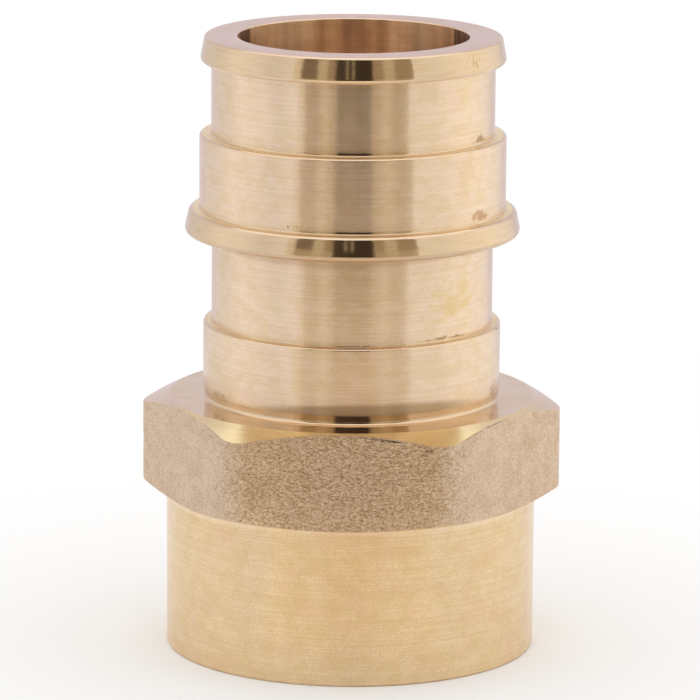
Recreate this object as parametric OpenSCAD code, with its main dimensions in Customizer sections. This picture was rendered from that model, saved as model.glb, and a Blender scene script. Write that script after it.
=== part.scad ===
// Brass adapter from an expanded plastic tube to a female pipe thread.
// One forged and turned piece. It stands on the mouth of its threaded socket, +Z runs up the barb,
// and one flat of the hexagon faces -Y. All sizes are in millimetres.

/* [Barb] */
// Diameter of the upper land, under the lip
upper_land_d = 20.5; // [19.5:0.1:21.5]
// Height of the upper land
upper_land_h = 5.15; // [3:0.05:8]
// Diameter of the collar that the tube shrinks onto
collar_d = 22.2; // [21.8:0.1:23]
// Height of the collar
collar_h = 5.45; // [3:0.05:8]
// Diameter of the lower land, under the rib
lower_land_d = 20.4; // [19.5:0.1:21.5]
// Height of the lower land
lower_land_h = 6.4; // [3:0.05:9]
// Diameter of the foot, where the barb meets the hexagon
foot_d = 21.6; // [20.9:0.1:24]
// Height of the foot
foot_h = 5.6; // [2:0.05:9]

/* [Lip] */
// Diameter of the lip at its lower edge
lip_d = 22.2; // [21.5:0.1:23]
// Diameter of the lip at the end of the barb
lip_end_d = 21.5; // [20.5:0.1:23]
// Height of the lip
lip_h = 1.85; // [1.2:0.05:3]
// Rounding of the lip's lower edge
lip_round = 0.35; // [0.1:0.05:0.7]
// Rounding of the lip's edge at the end of the barb
lip_end_round = 0.2; // [0.05:0.05:0.5]

/* [Rib] */
// Diameter of the rib at its lower edge
rib_d = 24.5; // [23:0.1:26]
// Diameter of the rib at its upper edge
rib_top_d = 23.7; // [22.8:0.1:26]
// Height of the rib
rib_h = 1.9; // [1.2:0.1:3]
// Rounding of the rib's lower edge
rib_round = 0.45; // [0.1:0.05:0.8]
// Rounding of the rib's upper edge
rib_top_round = 0.5; // [0.05:0.05:0.6]
// Slope of the rib's upper face, in degrees from level
rib_slope = 2; // [0:1:35]

/* [Hexagon] */
// Distance across the flats
hex_af = 27; // [26.9:0.1:32]
// Height from the socket to the turned shoulder face
hex_h = 7.15; // [4.5:0.05:12]
// Rounding of the upright corners, as forged
hex_corner_r = 2.2; // [0.5:0.1:5]
// Diameter of the flat shoulder face, where the upper chamfer starts
shoulder_d = 26.5; // [24.5:0.1:28]
// Slope of the upper chamfer, in degrees from level
upper_chamfer = 23; // [5:1:35]
// Slope of the lower chamfer, in degrees from level
lower_chamfer = 18; // [5:1:35]

/* [Socket] */
// Outer diameter of the socket
socket_d = 26.9; // [25:0.1:29]
// Height of the socket under the hexagon
socket_h = 11.35; // [8:0.05:16]
// Rounding of the socket's outer edge
socket_round = 0.2; // [0.05:0.05:1]
// Diameter of the hole that is drilled for the pipe thread
thread_drill_d = 18.3; // [17:0.1:19]
// Depth of that hole to its full diameter
thread_depth = 15; // [12:0.1:17]
// Diameter of the countersink at the mouth
countersink_d = 21.6; // [20:0.1:23]
// Slope of the countersink, in degrees from level
countersink_slope = 45; // [30:1:60]

/* [Waterway] */
// Diameter of the bore through the barb
bore_d = 16.7; // [14:0.1:17.2]
// Slope of the cone that the drill leaves between the two holes, in degrees from level
drill_slope = 31; // [20:1:60]
// Rounding of the bore's mouth
bore_round = 0.1; // [0.05:0.05:0.5]

/* [Edges] */
// Slope of the upper faces of the collar and the foot, in degrees from level
step_slope = 1; // [0:1:20]
// Rounding of the upper edges of the collar and the foot
edge_round = 0.35; // [0.05:0.05:0.5]
// Fillet left by the turning tool in each inner corner of the barb
tool_fillet = 0.1; // [0.05:0.05:0.4]
// Fillet between the foot and the shoulder face
foot_fillet = 0.3; // [0.05:0.05:0.6]

/* [Hidden] */

// Straight steps in each rounded corner
ARC_STEPS = 8;
// Largest part of an edge that a rounding may take up
EDGE_SHARE = 0.48;
// How far the shapes that cut reach past the metal
MARGIN = 1;

// Heights of the steps, from the mouth of the socket up
shoulder_z = socket_h + hex_h;
foot_top_z = shoulder_z + foot_h;
rib_bottom_z = foot_top_z + lower_land_h;
rib_top_z = rib_bottom_z + rib_h;
collar_top_z = rib_top_z + collar_h;
lip_bottom_z = collar_top_z + upper_land_h;
end_z = lip_bottom_z + lip_h;

// How far each sloping upper face falls from its inner corner to its outer edge
foot_fall = (foot_d - lower_land_d) / 2 * tan(step_slope);
collar_fall = (collar_d - upper_land_d) / 2 * tan(step_slope);
rib_fall = (rib_top_d - collar_d) / 2 * tan(rib_slope);

// Height of the countersink, and of the cone between the two holes
countersink_h = (countersink_d - thread_drill_d) / 2 * tan(countersink_slope);
drill_cone_h = (thread_drill_d - bore_d) / 2 * tan(drill_slope);

// The flange is turned wider than the hexagon's corners, and the flats are then cut from it
hex_corner_d = hex_af / cos(30);
flange_d = hex_corner_d + 2 * MARGIN;
flange_bottom_z = socket_h + (flange_d - socket_d) / 2 * tan(lower_chamfer);
flange_top_z = shoulder_z - (flange_d - shoulder_d) / 2 * tan(upper_chamfer);

// The turned profile, once round the wall: [diameter, height, rounding of that corner]
turned_profile = [
    [countersink_d, 0, 0],
    [socket_d, 0, socket_round],
    [socket_d, socket_h, 0],
    [flange_d, flange_bottom_z, 0],
    [flange_d, flange_top_z, 0],
    [shoulder_d, shoulder_z, 0],
    [foot_d, shoulder_z, foot_fillet],
    [foot_d, foot_top_z - foot_fall, edge_round],
    [lower_land_d, foot_top_z, tool_fillet],
    [lower_land_d, rib_bottom_z, tool_fillet],
    [rib_d, rib_bottom_z, rib_round],
    [rib_top_d, rib_top_z - rib_fall, rib_top_round],
    [collar_d, rib_top_z, tool_fillet],
    [collar_d, collar_top_z - collar_fall, edge_round],
    [upper_land_d, collar_top_z, tool_fillet],
    [upper_land_d, lip_bottom_z, tool_fillet],
    [lip_d, lip_bottom_z, lip_round],
    [lip_end_d, end_z, lip_end_round],
    [bore_d, end_z, bore_round],
    [bore_d, thread_depth + drill_cone_h, 0],
    [thread_drill_d, thread_depth, 0],
    [thread_drill_d, countersink_h, 0],
];

// A vector of length one along v
function unit(v) = v / norm(v);

// The arc that rounds corner b between its neighbours a and c, no longer than its edges allow
function corner_arc(a, b, c, r) =
    let (
        back = unit(a - b),
        ahead = unit(c - b),
        half = acos(back * ahead) / 2,
        reach = min(r / tan(half), EDGE_SHARE * norm(a - b), EDGE_SHARE * norm(c - b)),
        centre = b + unit(back + ahead) * reach / cos(half),
        start = b + back * reach - centre,
        end = b + ahead * reach - centre,
        sweep = atan2(cross(start, end), start * end)
    )
    [for (i = [0:ARC_STEPS])
        let (t = sweep * i / ARC_STEPS)
        centre + [start.x * cos(t) - start.y * sin(t), start.x * sin(t) + start.y * cos(t)]];

// An outline with each corner rounded by the radius that is its third number
function rounded(corners) =
    let (n = len(corners), xy = [for (c = corners) [c.x, c.y]])
    [for (i = [0:n - 1])
        each corners[i].z > 0
            ? corner_arc(xy[(i + n - 1) % n], xy[i], xy[(i + 1) % n], corners[i].z)
            : [xy[i]]];

// The round blank: barb, flange and socket, with the bore, the drilled hole and the countersink
module turned_blank() {
    rotate_extrude($fn = 144)
        polygon(rounded([for (p = turned_profile) [p.x / 2, p.y, p.z]]));
}

// A six-sided bar with rounded corners, taller than the piece, with a flat towards -Y
module hexagonal_bar() {
    corner_r = hex_corner_d / 2;
    outline = [for (a = [0:60:300]) [corner_r * cos(a), corner_r * sin(a), hex_corner_r]];
    translate([0, 0, -MARGIN])
        linear_extrude(end_z + 2 * MARGIN)
            polygon(rounded(outline));
}

// The whole fitting: the bar's flats only reach the flange, because all else is narrower
module adapter_body() {
    color("#c9a474")
        intersection() {
            turned_blank();
            hexagonal_bar();
        }
}

adapter_body();
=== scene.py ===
import math
import bmesh
import bpy
from mathutils import Matrix, Vector, noise


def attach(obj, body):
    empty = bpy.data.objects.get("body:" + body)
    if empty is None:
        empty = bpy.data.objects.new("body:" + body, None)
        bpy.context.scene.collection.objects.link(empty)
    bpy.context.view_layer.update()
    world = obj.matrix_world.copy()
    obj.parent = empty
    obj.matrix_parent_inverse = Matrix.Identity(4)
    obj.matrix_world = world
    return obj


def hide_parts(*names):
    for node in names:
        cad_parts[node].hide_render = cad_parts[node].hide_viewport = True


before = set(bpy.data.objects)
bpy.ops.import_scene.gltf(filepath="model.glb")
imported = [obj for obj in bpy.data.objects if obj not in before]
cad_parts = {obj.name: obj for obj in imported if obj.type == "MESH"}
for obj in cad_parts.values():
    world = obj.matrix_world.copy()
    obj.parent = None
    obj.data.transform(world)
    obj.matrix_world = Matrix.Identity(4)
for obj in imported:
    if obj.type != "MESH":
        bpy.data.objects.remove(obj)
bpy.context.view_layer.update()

scene = bpy.context.scene

# The camera stands where the photograph was taken from: a little above the fitting, almost square
# to one flat of its hexagon, and leaning by less than half a degree. It looks half way up, a little
# to the left of the axis.
MM = 0.001
AZIMUTH = math.radians(3.361)
ELEVATION = math.radians(12.115)
LEAN = math.radians(0.405)
DISTANCE = 376.53 * MM
NEAREST = 10 * MM
AIM_HEIGHT = 21.688 * MM
AIM_LEFT = 0.111 * MM
LENS = 265.63
SENSOR = 36

level = Vector((math.cos(AZIMUTH), math.sin(AZIMUTH), 0))
towards_camera = Vector((math.sin(AZIMUTH) * math.cos(ELEVATION),
                         -math.cos(AZIMUTH) * math.cos(ELEVATION), math.sin(ELEVATION)))
aim = Vector((0, 0, AIM_HEIGHT)) - level * AIM_LEFT
right = level * math.cos(LEAN) + towards_camera.cross(level) * math.sin(LEAN)
facing = Matrix((right, towards_camera.cross(right), towards_camera)).transposed().to_4x4()
camera = bpy.data.objects.new("camera", bpy.data.cameras.new("camera"))
camera.data.lens = LENS
camera.data.sensor_width = SENSOR
camera.data.clip_start = NEAREST
camera.matrix_world = Matrix.Translation(aim + towards_camera * DISTANCE) @ facing
scene.collection.objects.link(camera)
scene.camera = camera

# The body is one brass forging, turned all over but for the flats of its hexagon. It is made as
# the lathe makes it: the profile of its wall is turned once round the axis. Sizes are in
# millimetres until the mesh is done.
END_Z = 44.85
LIP_R, LIP_END_R, LIP_LOW = 11.1, 10.75, 43
UPPER_LAND_R = 10.25
COLLAR_R, COLLAR_TOP, COLLAR_FALL = 11.1, 37.77, 0.015
RIB_R, RIB_TOP_R, RIB_LOW, RIB_TOP, RIB_FALL = 12.25, 11.85, 30.5, 32.32, 0.026
LOWER_LAND_R = 10.2
FOOT_R, FOOT_TOP, FOOT_FALL = 10.8, 24.06, 0.01
SHOULDER_R, SHOULDER_Z = 13.25, 18.5
SOCKET_R, SOCKET_H = 13.45, 11.35
BORE_R = 8.35
DRILL_R, DRILL_DEPTH, DRILL_CONE_H = 9.15, 15, 0.481
COUNTERSINK_R = 10.8

# The foot's wall leans in towards its root, in two short stretches
ROOT_R, ROOT_BEND_R = 10.72, 10.7875
ROOT_BEND_H, ROOT_H = 0.68, 0.82

# Heights of the bright bands that the tool's corner rubs into the wall just above each step
FOOT_BAND, RIB_BAND, COLLAR_BAND = 0.12, 0.2, 0.23

# The flange is turned round the hexagon's corners: half its width across the flats, the rounding
# of the forged corners, and the slopes of the two chamfers
HALF_SIDE = math.radians(30)
FLAT = 13.5
FORGED_ROUND = 2.2
UPPER_SLOPE = math.tan(math.radians(23))
LOWER_SLOPE = math.tan(math.radians(18))
ROUND_CENTRE = (FLAT - FORGED_ROUND) / math.cos(HALF_SIDE)
FLANGE_R = ROUND_CENTRE + FORGED_ROUND
FLANK_LOW = SOCKET_H + (FLANGE_R - SOCKET_R) * LOWER_SLOPE
FLANK_TOP = SHOULDER_Z - (FLANGE_R - SHOULDER_R) * UPPER_SLOPE

# Each corner of the wall, once round the metal: radius, height, and how much it is rounded. The
# countersink slopes at 45 degrees, so it is as high as it is wide.
wall = [
    (COUNTERSINK_R, 0, 0.08),
    (SOCKET_R, 0, 0.2),
    (SOCKET_R, SOCKET_H, 0),
    (FLANGE_R, FLANK_LOW, 0),
    (FLANGE_R, FLANK_TOP, 0),
    (SHOULDER_R, SHOULDER_Z, 0),
    (ROOT_R, SHOULDER_Z, 0.25),
    (ROOT_BEND_R, SHOULDER_Z + ROOT_BEND_H, 0),
    (FOOT_R, SHOULDER_Z + ROOT_H, 0),
    (FOOT_R, FOOT_TOP - FOOT_FALL, 0.22),
    (LOWER_LAND_R, FOOT_TOP, 0.1),
    (LOWER_LAND_R, FOOT_TOP + FOOT_BAND, 0),
    (LOWER_LAND_R, RIB_LOW, 0.1),
    (RIB_R, RIB_LOW, 0.45),
    (RIB_TOP_R, RIB_TOP - RIB_FALL, 0.36),
    (COLLAR_R, RIB_TOP, 0.12),
    (COLLAR_R, RIB_TOP + RIB_BAND, 0),
    (COLLAR_R, COLLAR_TOP - COLLAR_FALL, 0.24),
    (UPPER_LAND_R, COLLAR_TOP, 0.12),
    (UPPER_LAND_R, COLLAR_TOP + COLLAR_BAND, 0),
    (UPPER_LAND_R, LIP_LOW, 0.1),
    (LIP_R, LIP_LOW, 0.35),
    (LIP_END_R, END_Z, 0.2),
    (BORE_R, END_Z, 0.1),
    (BORE_R, DRILL_DEPTH + DRILL_CONE_H, 0),
    (DRILL_R, DRILL_DEPTH, 0),
    (DRILL_R, COUNTERSINK_R - DRILL_R, 0),
]
# Where the chamfers and the flank between them begin in that list
LOWER_CHAMFER, FLANK, UPPER_CHAMFER = 2, 3, 4
# How finely a rounding, the flank, a chamfer and the full turn are cut
ROUND_STEPS, FLANK_CUTS, CHAMFER_CUTS, TURN_STEPS = 6, 25, 4, 360
# A rounding takes up less than half of each stretch beside it
LONGEST_SHARE = 0.48
# Places nearer to each other than this are the same place
HAIR = 0.01

body_mesh = bmesh.new()
corners = [body_mesh.verts.new((r, 0, z)) for r, z, _ in wall]
body_mesh.faces.new(corners)
places = [v.co.copy() for v in corners]
for i, (_, _, rounding) in enumerate(wall):
    if rounding:
        back = places[i - 1] - places[i]
        ahead = places[(i + 1) % len(places)] - places[i]
        reach = min(rounding / math.tan(back.angle(ahead) / 2),
                    LONGEST_SHARE * back.length, LONGEST_SHARE * ahead.length)
        bmesh.ops.bevel(body_mesh, geom=[corners[i]], offset=reach, offset_type="OFFSET",
                        segments=ROUND_STEPS, profile=0.5, affect="VERTICES", material=-1)
bmesh.ops.delete(body_mesh, geom=body_mesh.faces[:], context="FACES_ONLY")
for start, cuts in ((LOWER_CHAMFER, CHAMFER_CUTS), (FLANK, FLANK_CUTS), (UPPER_CHAMFER, CHAMFER_CUTS)):
    ends = places[start:start + 2]
    stretch = [e for e in body_mesh.edges
               if all(min((v.co - end).length for end in ends) < HAIR for v in e.verts)]
    bmesh.ops.subdivide_edges(body_mesh, edges=stretch, cuts=cuts)
bmesh.ops.spin(body_mesh, geom=body_mesh.verts[:] + body_mesh.edges[:], cent=(0, 0, 0),
               axis=(0, 0, 1), angle=math.tau, steps=TURN_STEPS, use_merge=True)

# The hexagon is left from the forging, with rounded corners and flats that the blast has left not
# quite true: waves about 2 mm long with ripples under 1 mm on them, always inwards. The turned
# flange is pressed in to it, so that both chamfers keep their cones.
WAVE_DEPTH, WAVES_PER_MM, WAVE_OCTAVES = 0.035, 0.45, 2
RIPPLE_DEPTH, RIPPLES_PER_MM, RIPPLE_OCTAVES = 0.014, 1.6, 3
RIPPLE_SHIFT = Vector((7, 3, 1))
# Each octave is twice as fine as the last one and half as deep
OCTAVE_FALL, OCTAVE_FINER = 1, 2


def forged_radius(x, y):
    """Distance from the axis to the rounded hexagon, towards x, y."""
    turn = (math.degrees(math.atan2(y, x)) + 90) % 60
    off_flat = math.radians(min(turn, 60 - turn))
    to_corner = HALF_SIDE - off_flat
    if math.tan(off_flat) * FLAT < math.tan(HALF_SIDE) * (FLAT - FORGED_ROUND):
        return FLAT / math.cos(off_flat)
    across = ROUND_CENTRE * math.sin(to_corner)
    return ROUND_CENTRE * math.cos(to_corner) + math.sqrt(FORGED_ROUND ** 2 - across ** 2)


for v in body_mesh.verts:
    x, y, z = v.co
    r = math.hypot(x, y)
    if r < SOCKET_R - HAIR or not SOCKET_H + HAIR < z < SHOULDER_Z - HAIR:
        continue
    wave = noise.fractal(v.co * WAVES_PER_MM, OCTAVE_FALL, OCTAVE_FINER, WAVE_OCTAVES)
    ripple = noise.fractal(v.co * RIPPLES_PER_MM + RIPPLE_SHIFT, OCTAVE_FALL, OCTAVE_FINER,
                           RIPPLE_OCTAVES)
    uneven = wave * WAVE_DEPTH + ripple * RIPPLE_DEPTH
    outer = min(forged_radius(x, y), FLANGE_R) + min(0, uneven)
    if z > FLANK_TOP + HAIR:
        new_r = SHOULDER_R + (r - SHOULDER_R) / (FLANGE_R - SHOULDER_R) * (outer - SHOULDER_R)
        new_z = SHOULDER_Z - (new_r - SHOULDER_R) * UPPER_SLOPE
    elif z < FLANK_LOW - HAIR:
        new_r = SOCKET_R + (r - SOCKET_R) / (FLANGE_R - SOCKET_R) * (outer - SOCKET_R)
        new_z = SOCKET_H + (new_r - SOCKET_R) * LOWER_SLOPE
    else:
        new_r = outer
        top = SHOULDER_Z - (outer - SHOULDER_R) * UPPER_SLOPE
        bottom = SOCKET_H + (outer - SOCKET_R) * LOWER_SLOPE
        new_z = bottom + (z - FLANK_LOW) / (FLANK_TOP - FLANK_LOW) * (top - bottom)
    v.co = (x * new_r / r, y * new_r / r, new_z)


def made(name, mesh):
    """A new object in the scene, made of this bmesh."""
    data = bpy.data.meshes.new(name)
    mesh.to_mesh(data)
    mesh.free()
    piece = bpy.data.objects.new(name, data)
    scene.collection.objects.link(piece)
    return piece


bmesh.ops.scale(body_mesh, vec=(MM, MM, MM), verts=body_mesh.verts)
bmesh.ops.recalc_face_normals(body_mesh, faces=body_mesh.faces)
body = made("adapter_body_turned", body_mesh)

# The pipe thread is cut in the socket by a tap: right-handed, 14 to the inch, tapering 1 in 16, with
# small flats on its crests. The tap's nose lets it fade out before the drilled hole ends.
PITCH = 1.814
PITCH_R = 9.886
TAPER = 1 / 32
THREAD_DEPTH = 1.45
TURNS, TURNS_BELOW = 10, 2
NOSE_Z, NOSE_SLOPE, NOSE_SLACK = 14.2, 0.5, 0.05
TAP_STEPS = TURN_STEPS // 2
# One tooth of the tap: along the axis in pitches, and out from the pitch line in half depths
tooth = [(-0.5, -1), (-0.45, -1), (-0.225, -0.06), (-0.03, 0.94), (0, 1), (0.03, 0.94),
         (0.225, 0.06), (0.45, -1)]

tap_mesh = bmesh.new()
chain = []
for turn in range(-TURNS_BELOW, TURNS - TURNS_BELOW):
    for along, out in tooth:
        chain.append(tap_mesh.verts.new((PITCH_R + out * THREAD_DEPTH / 2, 0, (turn + along) * PITCH)))
last_z = (TURNS - TURNS_BELOW - 0.5) * PITCH
chain.append(tap_mesh.verts.new((PITCH_R - THREAD_DEPTH / 2, 0, last_z)))
for a, b in zip(chain, chain[1:]):
    tap_mesh.edges.new((a, b))
bmesh.ops.spin(tap_mesh, geom=tap_mesh.verts[:] + tap_mesh.edges[:], cent=(0, 0, 0),
               axis=(0, 0, 1), angle=math.tau, steps=TAP_STEPS, dvec=(0, 0, PITCH / TAP_STEPS))
bmesh.ops.remove_doubles(tap_mesh, verts=tap_mesh.verts, dist=HAIR)
for v in tap_mesh.verts:
    x, y, z = v.co
    r = math.hypot(x, y)
    nose_r = DRILL_R - NOSE_SLACK + max(0, NOSE_Z - z) * NOSE_SLOPE
    new_r = min(r - z * TAPER, nose_r)
    v.co = (x * new_r / r, y * new_r / r, z)
bmesh.ops.holes_fill(tap_mesh, edges=tap_mesh.edges, sides=0)
bmesh.ops.scale(tap_mesh, vec=(MM, MM, MM), verts=tap_mesh.verts)
bmesh.ops.recalc_face_normals(tap_mesh, faces=tap_mesh.faces)
tap = made("tap", tap_mesh)

tapping = body.modifiers.new("thread", "BOOLEAN")
tapping.operation = "DIFFERENCE"
tapping.object = tap
tapping.solver = "MANIFOLD"
bpy.context.view_layer.update()
threaded = bpy.data.meshes.new_from_object(body.evaluated_get(bpy.context.evaluated_depsgraph_get()))
body.modifiers.clear()
body.data = threaded
bpy.data.objects.remove(tap)

# Each face of the body is smooth, and what the tools and the forging die left as an edge is sharp.
# The finished body takes the place of the plain one, as a single piece that nothing is fixed to.
SHARP = math.radians(18)
threaded.shade_smooth()
threaded.set_sharp_from_angle(angle=SHARP)
weights = body.modifiers.new("weights", "WEIGHTED_NORMAL")
weights.weight = 100
weights.keep_sharp = True
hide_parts("adapter_body")
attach(body, "root")

# The finishes are all bare brass, and differ by how each surface was worked. A pixel of the render
# is 0.07 mm, so tool lines and grit that are finer than that are drawn about that size.

# Each mark's pattern is taken this far from the last one's, so that no two are alike
SEED_GAP = 17.3
# A mark comes in over this much of its pattern, and the pattern of a mark in one spot, stains and
# painted light alike, falls by this much a spread
SOFT_EDGE, STAIN_AND_PAINTED_LIGHT_FALL = 0.16, -0.25
# The quarter turn that draws reflections out across the tool's rings
ACROSS_THE_RINGS = 0.25


def linear(hex_colour):
    """An sRGB hex colour as the linear values that Blender's sockets take."""
    parts = [int(hex_colour[i:i + 2], 16) / 255 for i in (1, 3, 5)]
    return [p / 12.92 if p <= 0.04045 else ((p + 0.055) / 1.055) ** 2.4 for p in parts] + [1]


def add_node(tree, kind, links=None, **settings):
    """A shader node with its settings, and its inputs set to a value or linked to a socket."""
    node = tree.nodes.new(kind)
    for name, value in settings.items():
        setattr(node, name, value)
    for name, value in (links or {}).items():
        if isinstance(value, bpy.types.NodeSocket):
            tree.links.new(value, node.inputs[name])
        else:
            node.inputs[name].default_value = value
    return node


def empty_material(name):
    """A material whose nodes are still to come."""
    material = bpy.data.materials.new(name)
    material.use_nodes = True
    material.node_tree.nodes.clear()
    return material


def per_metre(sizes):
    """How often a pattern repeats in a metre, from its sizes in millimetres."""
    return [1 / (size * MM) for size in sizes]


def speckle(tree, place, sizes, shift=0):
    """A ragged pattern with grains of these sizes in millimetres."""
    grain = add_node(tree, "ShaderNodeMapping", {
        "Vector": place, "Location": (shift, 0, 0), "Scale": per_metre(sizes)})
    pattern = add_node(tree, "ShaderNodeTexNoise", {
        "Vector": grain.outputs[0], "Scale": 1, "Detail": 2})
    return pattern.outputs[0]


def stain_and_painted_light(tree, place, pattern, turn, from_axis, height, spread):
    """The pattern, but only round one spot, and fading away from it: for a stain, or for painted
    light.
    """
    angle = math.radians(turn) + AZIMUTH
    spot = (from_axis * MM * math.sin(angle), -from_axis * MM * math.cos(angle), height * MM)
    off_spot = add_node(tree, "ShaderNodeVectorMath", {0: place, 1: spot}, operation="SUBTRACT")
    in_spreads = add_node(tree, "ShaderNodeVectorMath", {
        0: off_spot.outputs[0], 1: per_metre(spread)}, operation="MULTIPLY")
    away = add_node(tree, "ShaderNodeVectorMath", {0: in_spreads.outputs[0]}, operation="LENGTH")
    fading = add_node(tree, "ShaderNodeMath", {
        0: away.outputs["Value"], 1: STAIN_AND_PAINTED_LIGHT_FALL, 2: pattern}, operation="MULTIPLY_ADD")
    return fading.outputs[0]


def finish(name, colour, roughness, anisotropic, marks, bump=None):
    """A brass surface: its own colour and gloss, with marks on it in the order they are named.

    A mark is the size of its grains in millimetres along x, y and z, how strongly it shows, its
    shade, and the share of the surface that it leaves bare. A mark in one spot, whether a stain or
    painted light, also has its turn from the camera in degrees, its distance from the axis, its
    height, and its spread along x, y and z. A bump is the size of its grains and their depth.
    """
    material = empty_material(name)
    tree = material.node_tree
    place = add_node(tree, "ShaderNodeTexCoord").outputs["Object"]
    tone = linear(colour)
    for i, (sizes, strength, shade, bare, *spot) in enumerate(marks):
        pattern = speckle(tree, place, sizes, SEED_GAP * i)
        if spot:
            pattern = stain_and_painted_light(tree, place, pattern, *spot)
        shown = add_node(tree, "ShaderNodeMapRange", {
            "Value": pattern, "From Min": bare, "From Max": bare + SOFT_EDGE, "To Max": strength})
        # Sockets 6 and 7 of a Mix node are its two colours, and its output 2 is the mixed one
        tone = add_node(tree, "ShaderNodeMix", {0: shown.outputs[0], 6: tone, 7: linear(shade)},
                        data_type="RGBA").outputs[2]
    tangent = add_node(tree, "ShaderNodeTangent", direction_type="RADIAL", axis="Z")
    shader = add_node(tree, "ShaderNodeBsdfPrincipled", {
        "Base Color": tone, "Metallic": 1.0, "Roughness": roughness, "Anisotropic": anisotropic,
        "Anisotropic Rotation": ACROSS_THE_RINGS, "Tangent": tangent.outputs[0]})
    if bump:
        sizes, depth = bump
        relief = add_node(tree, "ShaderNodeBump", {
            "Height": speckle(tree, place, sizes), "Distance": depth * MM, "Strength": 1.0})
        tree.links.new(relief.outputs[0], shader.inputs["Normal"])
    add_node(tree, "ShaderNodeOutputMaterial", {"Surface": shader.outputs[0]})
    return material


# Turned satin, on the lands, the collar and the foot: the tool's rings draw each reflection out up
# and down the wall and leave faint level lines. They are finer than a pixel, so they are drawn 0.07
# to 0.12 mm high. The air has left yellower and pinker patches.
satin = finish("brass_turned_satin", "#f0d7be", 0.26, 1.0, [
    ((14, 14, 0.12), 0.09, "#b08a5e", 0.42),
    ((6, 6, 0.07), 0.13, "#c9a67a", 0.42),
    ((0.14, 0.14, 0.1), 0.1, "#a8855a", 0.42),
    ((1.3, 1.3, 0.9), 0.27, "#d6bd80", 0.45),
    ((1.6, 1.6, 1.1), 0.15, "#e0b8a4", 0.48),
    ((0.3, 0.3, 0.25), 0.6, "#8a6238", 0.77),
    # Painted shade low on the front of the foot, a ring of painted shade under the rib, and fine pits
    # in front above the rib
    ((20, 20, 2), 0.7, "#a08460", 0.21, 0, 10.8, 18.6, (5.5, 9, 1.1)),
    ((20, 20, 2), 0.35, "#b08f6a", 0.1, 0, 0, 30.6, (60, 60, 0.5)),
    ((0.12, 0.12, 0.12), 0.7, "#5a4028", 0.5, -20, 11.1, 32.75, (4, 4, 0.3)),
    # Painted shade at both ends of the foot's root, then brown stains in the corners of the steps on
    # the right
    ((1, 1, 0.5), 0.5, "#a8804c", 0.25, -63, 10.8, 19.3, (1.6, 1.6, 0.45)),
    ((1, 1, 0.5), 0.5, "#b08850", 0.25, 72, 10.8, 19.4, (0.8, 0.8, 0.9)),
    ((1.2, 1.2, 0.8), 0.65, "#94622e", 0.25, 64, 10.25, 38.1, (1, 1, 0.45)),
    ((1.2, 1.2, 0.8), 0.55, "#a0682c", 0.25, 56, 11.1, 32.8, (0.8, 0.8, 0.4)),
    ((0.5, 0.5, 0.4), 0.75, "#8a5c30", 0.3, 76, 10.7, 24.1, (0.8, 0.8, 0.3)),
    ((0.7, 0.7, 0.2), 0.7, "#8f6a3c", 0.3, 41, 10.2, 24.28, (2.6, 2.6, 0.14)),
    # A yellow patch on the lower land
    ((1.2, 1.2, 0.5), 0.4, "#d8b96c", 0.3, 45, 10.2, 26.4, (2.4, 2.4, 1.8))])

# Burnished, on the lip, the rib's flank, the shoulder, the edges and the bands above the steps: the
# tool has rubbed it bright, so it mirrors its surroundings in clear stripes. One spot of the lip is
# scratched.
burnished = finish("brass_burnished", "#dec4a5", 0.1, 0.5, [
    ((2, 2, 0.15), 0.25, "#c9a67a", 0.45),
    ((0.18, 0.18, 1.2), 0.25, "#e8c98c", 0.55),
    ((0.2, 0.2, 0.9), 0.4, "#a87c48", 0.35, 52, 10.9, 44, (1.2, 1.2, 0.8))], ((0.3, 0.3, 0.3), 0.002))

# Laps are short dark folds that the forging die has left along the top of the flats, right of the
# middle: x, y and z of each, and how dark it is
LAPS = [(0.9, -13.5, 18.38, 0.35), (1.7, -13.5, 18.28, 0.5), (2.5, -13.5, 18.19, 0.6),
        (3.3, -13.5, 18.09, 0.85), (4.0, -13.5, 18.0, 0.9), (8.9, -11.5, 17.93, 0.4),
        (9.6, -10.4, 18.07, 0.5), (10.3, -9.2, 18.22, 0.5), (11.0, -8.0, 18.3, 0.45)]
lap_marks = [((0.3, 0.3, 0.1), strength, "#2c2016", 0.2, math.degrees(math.atan2(x, -y) - AZIMUTH),
              math.hypot(x, y), z, (0.55, 0.8, 0.06)) for x, y, z, strength in LAPS]

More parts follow.
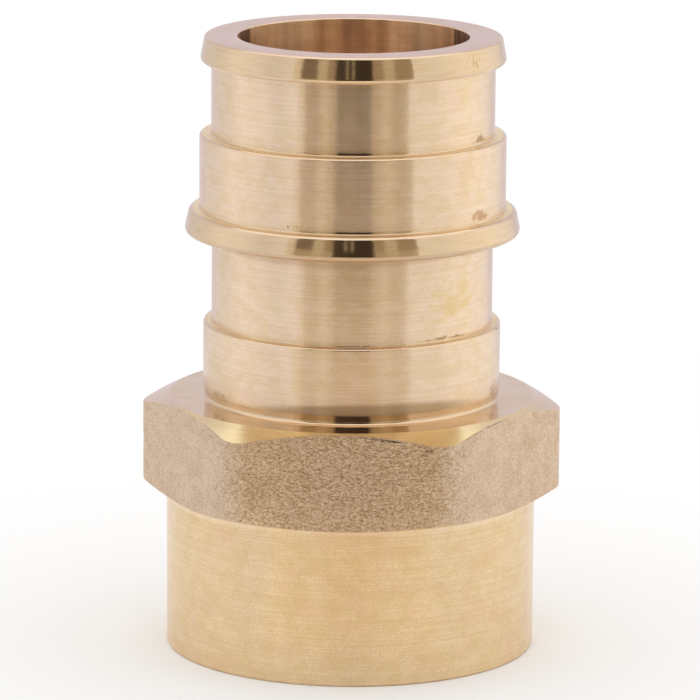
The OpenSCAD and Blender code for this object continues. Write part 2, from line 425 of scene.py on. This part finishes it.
# Forged and blasted, on the flats: grit has left it dull and pale, with a sandy grain of dark and
# light dots. The flat towards the camera is darker in patches, partly tarnish and partly painted
# shade, and its grain is painted stronger there, as painted shade and glints for the way the light
# falls on that flat. The real grain is about 0.1 mm, and is drawn 0.13 to 0.28 mm wide so that it
# shows.
blasted = finish("brass_forged_blasted", "#dabfa4", 0.36, 0.0, [
    # Tarnish and painted shade: the flat towards the camera is darker in patches
    ((3, 3, 2), 0.15, "#9c8460", 0.15, 0, 13.5, 15.2, (8, 2, 5)),
    ((1.6, 1.6, 1.2), 0.2, "#a88356", 0.45),
    ((0.22, 0.22, 0.17), 0.23, "#86663a", 0.42),
    ((0.25, 0.25, 0.18), 0.15, "#f4e0d0", 0.5),
    # The grain again, stronger on the flat towards the camera: real grain with painted shade and
    # glints
    ((0.26, 0.26, 0.2), 0.3, "#86663a", 0.3, 0, 13.5, 15.2, (14, 4, 12)),
    ((0.13, 0.13, 0.11), 0.45, "#6c4c28", 0.38, 0, 13.5, 15.2, (14, 4, 12)),
    ((0.28, 0.28, 0.2), 0.25, "#f4e0d0", 0.36, 0, 13.5, 15.2, (14, 4, 12)),
    # Dark spots all over the flats
    ((0.4, 0.4, 0.4), 0.4, "#6e5030", 0.7),
    # Three pits near the top of the flat, right of the middle
    ((0.2, 0.2, 0.2), 0.6, "#4a3620", 0.3, 21.7, 14.9, 17.4, (0.3, 0.3, 0.15)),
    ((0.2, 0.2, 0.2), 0.55, "#4a3620", 0.3, 26.3, 15.3, 17.6, (0.4, 0.4, 0.15)),
    ((0.2, 0.2, 0.2), 0.5, "#5a4228", 0.35, 20.4, 14.8, 17.15, (0.3, 0.3, 0.4)),
    *lap_marks], ((0.16, 0.16, 0.14), 0.06))

# Bored, on the waterway, the thread and the countersink: the drill's lips leave it streaked along
# its length, and it is redder than the outside. The two ends of the wall that faces the camera are
# darkened with painted shade.
bored = finish("brass_bored", "#f5c79a", 0.3, 1.0, [
    ((6, 6, 0.3), 0.08, "#a07848", 0.42),
    ((0.8, 0.8, 14), 0.2, "#8a5a34", 0.45),
    ((2, 2, 1.5), 0.2, "#b58a60", 0.45),
    # Painted shade at the two ends of the wall that faces the camera
    ((0.6, 0.6, 14), 0.8, "#54401f", 0.25, 102, 8.35, 43.5, (2.2, 3.2, 5)),
    ((0.6, 0.6, 14), 0.8, "#54401f", 0.25, -102, 8.35, 43.5, (2.2, 3.2, 5))])

# Turned satin again, on the socket: a quicker feed leaves stronger level lines, and the surface is
# yellower. A painted highlight makes a light ring where it runs out under the hexagon.
socket_satin = finish("brass_turned_socket", "#efd4ac", 0.3, 0.9, [
    ((14, 14, 0.12), 0.13, "#b5905c", 0.42),
    ((0.15, 0.15, 0.12), 0.16, "#a8855a", 0.42),
    ((1.5, 1.5, 1.1), 0.22, "#d2b26c", 0.45),
    ((2.2, 2.2, 1.6), 0.2, "#e0b094", 0.48),
    # Painted highlight: a light ring where the socket runs out under the hexagon
    ((20, 20, 2), 0.3, "#fbe6cc", 0.2, 0, 0, 11.3, (60, 60, 0.2)),
    ((0.35, 0.35, 0.3), 0.5, "#9a7444", 0.74)])

# Faced, on the flat end of the barb: cut straight across, it is even, pinkish and half dull.
faced = finish("brass_faced", "#dec3b4", 0.3, 0.6, [
    ((1.2, 1.2, 1.2), 0.3, "#cdb090", 0.45)])

# Turned chamfer, above and below the flats: cut in one pass, it is bright and yellow. At the two
# sides it is painted pinker, as a painted reflection.
chamfered = finish("brass_turned_chamfer", "#ead4a2", 0.2, 0.5, [
    ((5, 5, 0.1), 0.1, "#c0a060", 0.42),
    ((1.2, 1.2, 1.2), 0.2, "#e6c0a0", 0.48),
    # Painted reflection: pinker at the two sides
    ((20, 20, 4), 0.75, "#dcc0ae", 0.22, 90, 14.5, 17.8, (4, 9, 3)),
    ((20, 20, 4), 0.75, "#dcc0ae", 0.22, -90, 14.5, 17.8, (4, 9, 3))])

# Turned step, on the level tops of the collar, the rib and the foot: the tool's corner leaves it
# too rough to mirror anything, so it is a pale line.
stepped = finish("brass_turned_step", "#f5e4c0", 0.45, 0.0, [
    ((3, 3, 3), 0.2, "#d8b884", 0.45)])

# Where each finish begins and ends: how level a face is, as the height of its normal, and the
# heights and radii that divide the rest
LEVEL, SLOPING, CHAMFER_SLOPE = 0.995, 0.45, 0.3
MOUTH_DEPTH, WALL_SLACK, LIP_EDGE = 0.3, 0.1, 0.1
THREAD_R, THREAD_TOP = 10.75, 14.5
RIB_FLANK_LOW = RIB_LOW + 0.35
BARB_LOW = SHOULDER_Z + 1
BANDS = [(SHOULDER_Z, ROOT_BEND_H), (FOOT_TOP, FOOT_BAND), (RIB_TOP, RIB_BAND),
         (COLLAR_TOP, COLLAR_BAND)]


def finish_of(face):
    """How the surface was worked, from where the face lies and which way it looks."""
    x, y, z = face.center / MM
    r = math.hypot(x, y)
    up = face.normal.z
    in_bore = r < DRILL_R + WALL_SLACK and z < END_Z - MOUTH_DEPTH
    in_thread = r < THREAD_R and z < THREAD_TOP
    on_lip_or_rib = z > LIP_LOW + LIP_EDGE or RIB_FLANK_LOW < z < RIB_TOP
    if in_bore or in_thread:
        return bored
    if z > END_Z - HAIR:
        return faced
    if z > BARB_LOW and up > LEVEL:
        return stepped
    if SOCKET_H < z < SHOULDER_Z and r > SHOULDER_R:
        return blasted if abs(up) < CHAMFER_SLOPE else chamfered
    if z < SOCKET_H + HAIR:
        return socket_satin
    in_band = any(0 < z - step < height for step, height in BANDS)
    if z > SHOULDER_Z - HAIR and (up > SLOPING or on_lip_or_rib or in_band):
        return burnished
    return satin


finishes = [satin, burnished, blasted, bored, socket_satin, faced, chamfered, stepped]
threaded.materials.clear()
for material in finishes:
    threaded.materials.append(material)
for face in threaded.polygons:
    face.material_index = finishes.index(finish_of(face))

# The floor is a pale, matt board that the fitting stands on. It runs on past the picture's edges,
# and keeps the fitting's soft shadow.
FLOOR_REACH = 3
FLOOR_WHITE = "#fdfdfd"
floor_mesh = bmesh.new()
bmesh.ops.create_grid(floor_mesh, x_segments=1, y_segments=1, size=FLOOR_REACH)
floor = made("floor", floor_mesh)
board = empty_material("board_painted_white")
paint = add_node(board.node_tree, "ShaderNodeBsdfDiffuse", {"Color": linear(FLOOR_WHITE)})
add_node(board.node_tree, "ShaderNodeOutputMaterial", {"Surface": paint.outputs[0]})
floor.data.materials.append(board)

# The light tent stands round the fitting: white cloth at the sides and over the top, and an opening
# towards the camera, where cards and the dark room show. Only the brass mirrors it, and it throws no
# light on the floor. Its colours are light, not paint: they are linear, and may pass 1.
EDGE_R, SIDE_R, FAR_R = 70, 500, 400
OPENING = 42


def tent_wall(name, section, start, turn, facet, lights):
    """A sheet of the tent, spun round the axis.

    The section is a list of distances from the axis and heights, in millimetres. The sheet begins
    at start, in degrees from the camera, and goes on for turn, in facets of so many degrees. The
    lights are its colours, or plain numbers for a white, at angles from the camera, and it passes
    smoothly from one to the next.
    """
    mesh = bmesh.new()
    angle = AZIMUTH - math.pi / 2 + math.radians(start)
    points = [mesh.verts.new((r * MM * math.cos(angle), r * MM * math.sin(angle), z * MM))
              for r, z in section]
    for a, b in zip(points, points[1:]):
        mesh.edges.new((a, b))
    bmesh.ops.spin(mesh, geom=mesh.verts[:] + mesh.edges[:], cent=(0, 0, 0), axis=(0, 0, 1),
                   angle=math.radians(turn), steps=turn // facet, use_merge=turn == 360)
    sheet = made(name, mesh)
    sheet.visible_camera = False
    sheet.visible_diffuse = False
    sheet.visible_shadow = False
    sheet.visible_transmission = False

    cloth = empty_material(name)
    tree = cloth.node_tree
    place = add_node(tree, "ShaderNodeTexCoord")
    turned = add_node(tree, "ShaderNodeMapping", {
        "Vector": place.outputs["Object"], "Rotation": (0, 0, math.pi / 2 - AZIMUTH)})
    parts = add_node(tree, "ShaderNodeSeparateXYZ", {"Vector": turned.outputs[0]})
    from_camera = add_node(tree, "ShaderNodeMath", {
        0: parts.outputs["Y"], 1: parts.outputs["X"]}, operation="ARCTAN2")
    share = add_node(tree, "ShaderNodeMath", {
        0: from_camera.outputs[0], 1: 1 / math.tau, 2: 0.5}, operation="MULTIPLY_ADD")
    ramp = add_node(tree, "ShaderNodeValToRGB", {"Fac": share.outputs[0]})
    stops = ramp.color_ramp.elements
    stops.remove(stops[1])
    for i, (degrees, light) in enumerate(lights):
        stop = stops.new(degrees / 360 + 0.5) if i else stops[0]
        stop.position = degrees / 360 + 0.5
        stop.color = (*light, 1) if isinstance(light, tuple) else (light, light, light, 1)
    glow = add_node(tree, "ShaderNodeEmission", {"Color": ramp.outputs[0]})
    add_node(tree, "ShaderNodeOutputMaterial", {"Surface": glow.outputs[0]})
    cloth.cycles.emission_sampling = "NONE"
    sheet.data.materials.append(cloth)


# The opening has two heights: the satin walls and the socket mirror its lower part, and the lip and
# the rib its upper part, where the cards' edges and two thin lines are sharp.
CARD_LOW, CARD_TOP, OPENING_TOP = 14, 42, 95
BRIGHT = (0.85, 0.79, 0.68)
DARK, BLACK = (0.075, 0.06, 0.045), (0.06, 0.046, 0.036)
LOW_TAN, LOW_OLIVE = (0.52, 0.44, 0.31), (0.64, 0.56, 0.41)
TAN, OLIVE, BROWN = (0.26, 0.21, 0.16), (0.62, 0.57, 0.43), (0.42, 0.34, 0.24)
THIN_LINE = (0.4, 0.35, 0.25)
tent_wall("tent_opening_low", [(EDGE_R, CARD_LOW), (EDGE_R, CARD_TOP)], -OPENING, 2 * OPENING, 1, [
    (-42, BRIGHT), (-38, BRIGHT), (-36, LOW_TAN), (-26, LOW_TAN), (-24, LOW_OLIVE),
    (-19, LOW_OLIVE), (-17, LOW_TAN), (-13, LOW_TAN), (-11.5, DARK), (13, BLACK), (14.5, LOW_TAN),
    (20, LOW_TAN), (22, LOW_OLIVE), (28, LOW_OLIVE), (30, LOW_TAN), (36, LOW_TAN), (42, LOW_OLIVE)])
tent_wall("tent_opening_high", [(EDGE_R, CARD_TOP), (EDGE_R, OPENING_TOP)], -OPENING, 2 * OPENING, 1, [
    (-42, BRIGHT), (-37, BRIGHT), (-36, TAN), (-25.5, TAN), (-24.5, OLIVE), (-18.5, OLIVE),
    (-17, BROWN), (-13.5, BROWN), (-11, DARK), (-5, DARK), (-4.6, THIN_LINE), (-3.8, THIN_LINE),
    (-3.4, DARK), (-0.8, DARK), (-0.4, THIN_LINE), (0.4, THIN_LINE), (0.8, BLACK), (13, BLACK),
    (14, BROWN), (20, BROWN), (21.5, OLIVE), (28, OLIVE), (29.5, BROWN), (42, BROWN)])

# The tent's own floor lies in front of the fitting, and the chamfers, the steps and the shoulder
# mirror it. It is brightest straight ahead and far off.
FLOOR_Z, FLOOR_NEAR_R, FAR_OPENING = 0.4, 20, 20
SIDE_FLOOR, MIDDLE_FLOOR = (1.03, 0.95, 0.82), (0.98, 0.87, 0.73)
FAR_MIDDLE, FAR_SIDE = (1.55, 1.36, 1.1), 0.97
near_floor = [(FLOOR_NEAR_R, FLOOR_Z), (EDGE_R, FLOOR_Z)]
far_floor = [(EDGE_R, FLOOR_Z), (FAR_R, FLOOR_Z)]
tent_wall("tent_front_floor", near_floor, -OPENING, 2 * OPENING, 1, [
    (-42, SIDE_FLOOR), (-14, SIDE_FLOOR), (-10, MIDDLE_FLOOR), (13, MIDDLE_FLOOR),
    (17, SIDE_FLOOR), (42, SIDE_FLOOR)])
tent_wall("tent_front_floor_far", far_floor, -FAR_OPENING, 2 * FAR_OPENING, 1, [
    (-20, FAR_SIDE), (-13, SIDE_FLOOR), (-10, FAR_MIDDLE), (13, FAR_MIDDLE), (16, SIDE_FLOOR),
    (20, FAR_SIDE)])


def warm(brightness):
    """Cloth of this brightness on the right of the tent, a little warmer than white."""
    return tuple(brightness * part for part in (1, 0.99, 0.93))


# The tent's sides and back are lit from both sides, warmer on the right, and the back is lilac.
# Its roof is lit from above, and a little blue.
SIDE_NEAR_R, SIDE_LOW, SIDE_START = 95, 0.5, OPENING + 1
ROOF_LOW, ROOF_Z = 501, 800
BACK = (0.8, 0.76, 0.82)
ROOF = (1.3, 1.32, 1.38)
sides = [(SIDE_NEAR_R, SIDE_LOW), (SIDE_R, SIDE_LOW), (SIDE_R, SIDE_R)]
roof = [(SIDE_R, ROOF_LOW), (SIDE_R, ROOF_Z), (1, ROOF_Z)]
tent_wall("tent_sides", sides, SIDE_START, 360 - 2 * SIDE_START, 2, [
    (-180, BACK), (-150, BACK), (-140, 0.84), (-120, 0.9), (-100, 1.08), (-77, 1.0), (-66, 0.88),
    (-58, 0.88), (-43, 0.98), (43, warm(0.96)), (67, warm(1)), (83, warm(1.12)), (105, warm(1.2)),
    (125, 1.12), (140, 0.98), (150, BACK), (180, BACK)])
tent_wall("tent_roof", roof, 0, 360, 5, [(-180, ROOF), (180, ROOF)])

# The room's light is an even white from all sides, which makes the shadow soft. It is a little over
# 1, so that the board comes out as white as the photograph's background.
ROOM_WHITE = (1.04, 1.04, 1.04, 1)
world = bpy.data.worlds.new("studio")
scene.world = world
world.use_nodes = True
world.node_tree.nodes["Background"].inputs["Color"].default_value = ROOM_WHITE
world.cycles.sampling_method = "NONE"
scene.view_settings.view_transform = "Standard"
